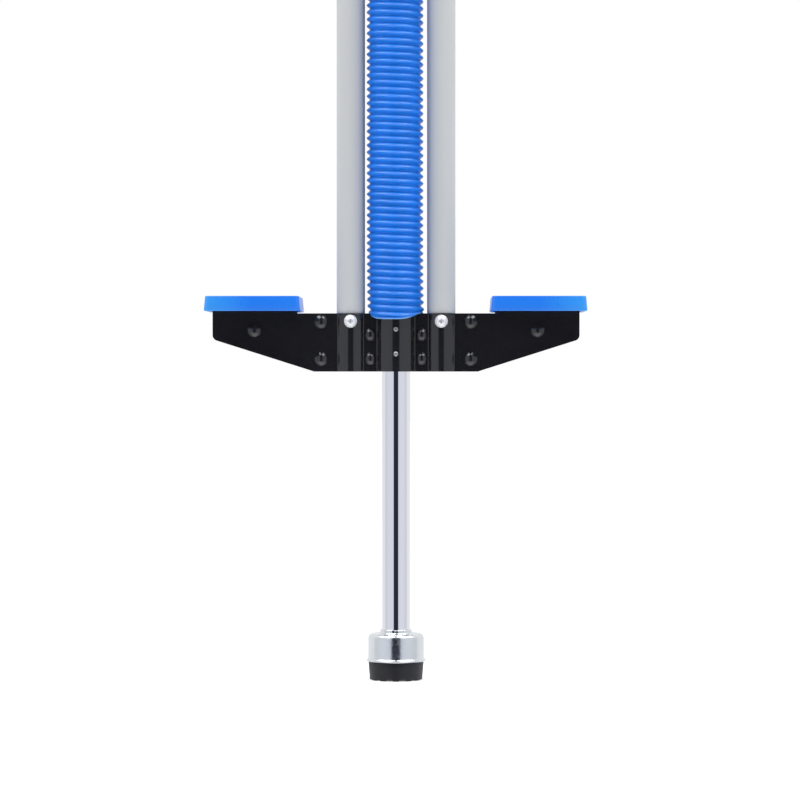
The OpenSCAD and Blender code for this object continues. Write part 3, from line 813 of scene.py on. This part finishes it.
def build_tip():
    """Moulded tip: waisted side, treaded edge, ring groove and the recess of its bolt."""
    low, high, _ = size("rubber_tip")
    cup_low, cup_high, _ = size("foot_cup")
    piston_low, piston_high, _ = size("piston_tube")
    lip_z = cup_low.z
    side_r = (high.x - low.x) / 2
    core_r = (cup_high.x - cup_low.x) / 2 - 3.0 * MM
    foot_r = side_r - 1.1 * MM
    bolt_r = 4.2 * MM
    hole_r = 9 * MM                   # recess of the bolt's head
    recess_top = size("tip_washer")[1].z
    seat = piston_low.z - 0.3 * MM
    socket_r = piston_high.x + 0.2 * MM
    outline = [(bolt_r, recess_top), (hole_r, recess_top), (hole_r, 0.6 * MM), (hole_r + 0.5 * MM, 0)]
    outline += [(13.2 * MM, 0), (13.5 * MM, 0.3 * MM), (13.5 * MM, 2 * MM), (14.5 * MM, 2 * MM)]
    outline += [(15 * MM, 1.9 * MM), (15.2 * MM, 0.2 * MM), (15.5 * MM, 0), (17.5 * MM, 0)]
    outline += [(foot_r - MM, 0)]
    outline += arc((foot_r - MM, MM), MM, -70, 0, 4)
    outline += [(foot_r + (side_r - foot_r) * t, MM + (lip_z - 1.8 * MM) * t)
                for t in (0.12, 0.4, 0.7, 1)]
    outline += [(side_r - 0.25 * MM, lip_z - 0.3 * MM), (side_r - 0.8 * MM, lip_z)]
    outline += [(core_r, lip_z + 0.05 * MM), (core_r, high.z - MM), (core_r - MM, high.z)]
    outline += [(socket_r, high.z), (socket_r, seat), (bolt_r, seat)]
    rim_start = 15.3 * MM             # the notches are cut only outside this
    rim_top = 2.2 * MM

    def notch(r, z, a):
        turn = (a * NOTCHES / TURN) % 1 - 0.5
        across = abs(turn) * TURN / NOTCHES * r
        if r < rim_start or z > rim_top:
            return r, z
        cut = 1 - smooth_step((across - NOTCH_W / 2 + 0.25 * MM) / (0.5 * MM))
        return r, z + cut * max(0.0, NOTCH_H - 0.5 * z)

    verts, faces = turned(outline, 288, notch)
    tip = make_object("moulded_tip", verts, faces, FINISH["tip_rubber"], "piston", 50)
    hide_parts("rubber_tip")


def build_grip(name, node):
    """Ribbed grip with a flange at its inner end and a domed outer end."""
    low, high, centre = size(node)
    side = 1 if centre.x > 0 else -1
    length = high.x - low.x
    flange_r = (high.z - low.z) / 2
    grip_r = 15 * MM
    bore = 11.2 * MM
    rib_pitch = 5.2 * MM
    groove = 0.8 * MM
    dome = 4 * MM
    outline = [(bore, 0.3 * MM), (bore + 0.5 * MM, 0), (flange_r - MM, 0)]
    outline += arc((flange_r - 1.6 * MM, 1.6 * MM), 1.6 * MM, -75, 75, 8)
    outline += arc((grip_r + 1.2 * MM, 4.4 * MM), 1.2 * MM, -130, -180, 3)
    place = 8 * MM
    while place < length - 12 * MM:
        outline += [(grip_r, place), (grip_r, place + 2.6 * MM), (grip_r - 0.35 * MM, place + 3 * MM),
                    (grip_r - groove, place + 3.5 * MM), (grip_r - groove, place + 4.3 * MM),
                    (grip_r - 0.35 * MM, place + 4.8 * MM)]
        place += rib_pitch
    outline += [(grip_r, place)]
    outline += arc((grip_r - dome, length - dome), dome, 0, 90, 8)
    outline += [(6 * MM, length), (5 * MM, length - 0.8 * MM), (0.2 * MM, length - 0.8 * MM)]
    outline += [(0.2 * MM, length - dome), (bore, length - dome)]
    verts, faces = turned(outline, 72)
    inner = low.x if side > 0 else high.x
    verts = [(inner + side * z, y, centre.z + x) for x, y, z in verts]
    grip = make_object(name, verts, faces, FINISH["grip_rubber"], "frame", 40)
    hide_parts(node)


# ------------------------------------------------------------------ camera, light and floor


def build_camera():
    """Stands well back, level with the foot bracket, and looks at the stick's lower half."""
    camera = bpy.data.objects.new("camera", bpy.data.cameras.new("camera"))
    camera.location = CAMERA_PLACE
    aim = Vector(CAMERA_AIM)
    camera.rotation_euler = (aim - camera.location).to_track_quat("-Z", "Y").to_euler()
    camera.data.lens = LENS_MM
    camera.data.sensor_width = SENSOR_MM
    bpy.context.scene.collection.objects.link(camera)
    bpy.context.scene.camera = camera


def build_world():
    """A white tent with a narrow dark gap in front, a floor that is bright in front and a dim ceiling.

    The ramps run over the direction: around goes from 0 in front to 1 behind, and height from 0 straight
    down to 1 straight up. The camera itself sees plain white.
    """
    world = bpy.data.worlds.new("studio")
    world.use_nodes = True
    bpy.context.scene.world = world
    tree = world.node_tree
    coords = tree.nodes.new("ShaderNodeTexCoord")
    split = tree.nodes.new("ShaderNodeSeparateXYZ")
    tree.links.new(coords.outputs["Generated"], split.inputs[0])
    x, y, z = split.outputs
    front = math_node(tree, "MULTIPLY", y, -1.0)
    azimuth = math_node(tree, "ARCTAN2", x, front)
    around = math_node(tree, "DIVIDE", math_node(tree, "ABSOLUTE", azimuth), math.pi)
    gap, edge, side, back = 17.5 / 180, 20 / 180, 94 / 180, 102 / 180
    walls = ramp_node(tree, around, [
        (0, (0.022, 0.024, 0.038)), (gap, (0.026, 0.028, 0.044)), (edge, (0.70, 0.72, 0.80)),
        (0.3, (0.74, 0.76, 0.82)), (side, (0.66, 0.67, 0.70)), (back, (0.84, 0.85, 0.87)),
        (1, (0.90, 0.90, 0.91)),
    ])
    bright, bright_end, dim_start = (1.75, 1.75, 1.8), 55 / 180, 75 / 180
    ground = ramp_node(tree, around, [
        (0, bright), (bright_end, bright), (dim_start, (0.58, 0.58, 0.61)), (1, (0.52, 0.52, 0.55)),
    ])
    height = math_node(tree, "MULTIPLY_ADD", z, 0.5, 0.5)
    black, white = (0, 0, 0), (1, 1, 1)
    below = ramp_node(tree, height, [(0, white), (0.12, white), (0.3, black), (1, black)])
    above = ramp_node(tree, height, [(0, black), (0.84, black), (0.92, white), (1, white)])
    room = mix_node(tree, below, walls, ground)
    room = mix_node(tree, above, room, (0.35, 0.36, 0.39))
    seen = tree.nodes.new("ShaderNodeLightPath").outputs["Is Camera Ray"]
    color = mix_node(tree, seen, room, white)
    background = tree.nodes["Background"]
    tree.links.new(color, background.inputs["Color"])
    background.inputs["Strength"].default_value = 1.0
    bpy.context.scene.view_settings.view_transform = "Standard"


def build_softbox(name, place, aim):
    light = bpy.data.lights.new(name, "AREA")
    light.shape = "RECTANGLE"
    light.size, light.size_y = SOFTBOX_SIZE
    light.energy = SOFTBOX_WATTS
    lamp = bpy.data.objects.new(name, light)
    lamp.location = place
    lamp.rotation_euler = (Vector(aim) - Vector(place)).to_track_quat("-Z", "Y").to_euler()
    bpy.context.scene.collection.objects.link(lamp)


def build_floor():
    """Near-white floor with a little light of its own, so that only a soft contact shadow shows.

    It is clear from below, so that the stick's underside can be looked at.
    """
    half = FLOOR_HALF
    corners = [(-half, -half, 0), (half, -half, 0), (half, half, 0), (-half, half, 0)]
    mesh = bpy.data.meshes.new("floor")
    mesh.from_pydata(corners, [], [(0, 1, 2, 3)])
    floor = bpy.data.objects.new("floor", mesh)
    bpy.context.scene.collection.objects.link(floor)
    floor.visible_glossy = False
    material = bpy.data.materials.new("floor")
    material.use_nodes = True
    bsdf = material.node_tree.nodes["Principled BSDF"]
    bsdf.inputs["Base Color"].default_value = (0.9, 0.9, 0.9, 1)
    bsdf.inputs["Roughness"].default_value = 0.9
    bsdf.inputs["Specular IOR Level"].default_value = 0.0
    bsdf.inputs["Emission Color"].default_value = (1, 1, 1, 1)
    tree = material.node_tree
    coords = tree.nodes.new("ShaderNodeTexCoord")
    length = tree.nodes.new("ShaderNodeVectorMath")
    length.operation = "LENGTH"
    tree.links.new(coords.outputs["Object"], length.inputs[0])
    seen = tree.nodes.new("ShaderNodeLightPath").outputs["Is Camera Ray"]
    rise, most, base = 0.3, 0.6, 0.3
    far = math_node(tree, "MINIMUM", math_node(tree, "MULTIPLY", length.outputs["Value"], rise), most)
    glow = math_node(tree, "MULTIPLY_ADD", far, seen, base)
    tree.links.new(glow, bsdf.inputs["Emission Strength"])
    clear = tree.nodes.new("ShaderNodeBsdfTransparent")
    mix = tree.nodes.new("ShaderNodeMixShader")
    tree.links.new(tree.nodes.new("ShaderNodeNewGeometry").outputs["Backfacing"], mix.inputs[0])
    tree.links.new(bsdf.outputs[0], mix.inputs[1])
    tree.links.new(clear.outputs[0], mix.inputs[2])
    tree.links.new(mix.outputs[0], tree.nodes["Material Output"].inputs["Surface"])
    mesh.materials.append(material)


build_camera()
build_world()
build_floor()
for hand, x in (("left", -SOFTBOX_X), ("right", SOFTBOX_X)):
    build_softbox(hand + "_softbox", (x, SOFTBOX_Y, SOFTBOX_Z), (x * 0.4, 0.05, 0.3))

paint_cad_nodes()
build_sleeve()
build_spring()
build_foot_brackets()
build_head_brackets()
build_pad("left_tread_pad", "left_foot_pad")
build_pad("right_tread_pad", "right_foot_pad")
build_cup()
build_tip()
build_grip("left_ribbed_grip", "left_grip")
build_grip("right_ribbed_grip", "right_grip")
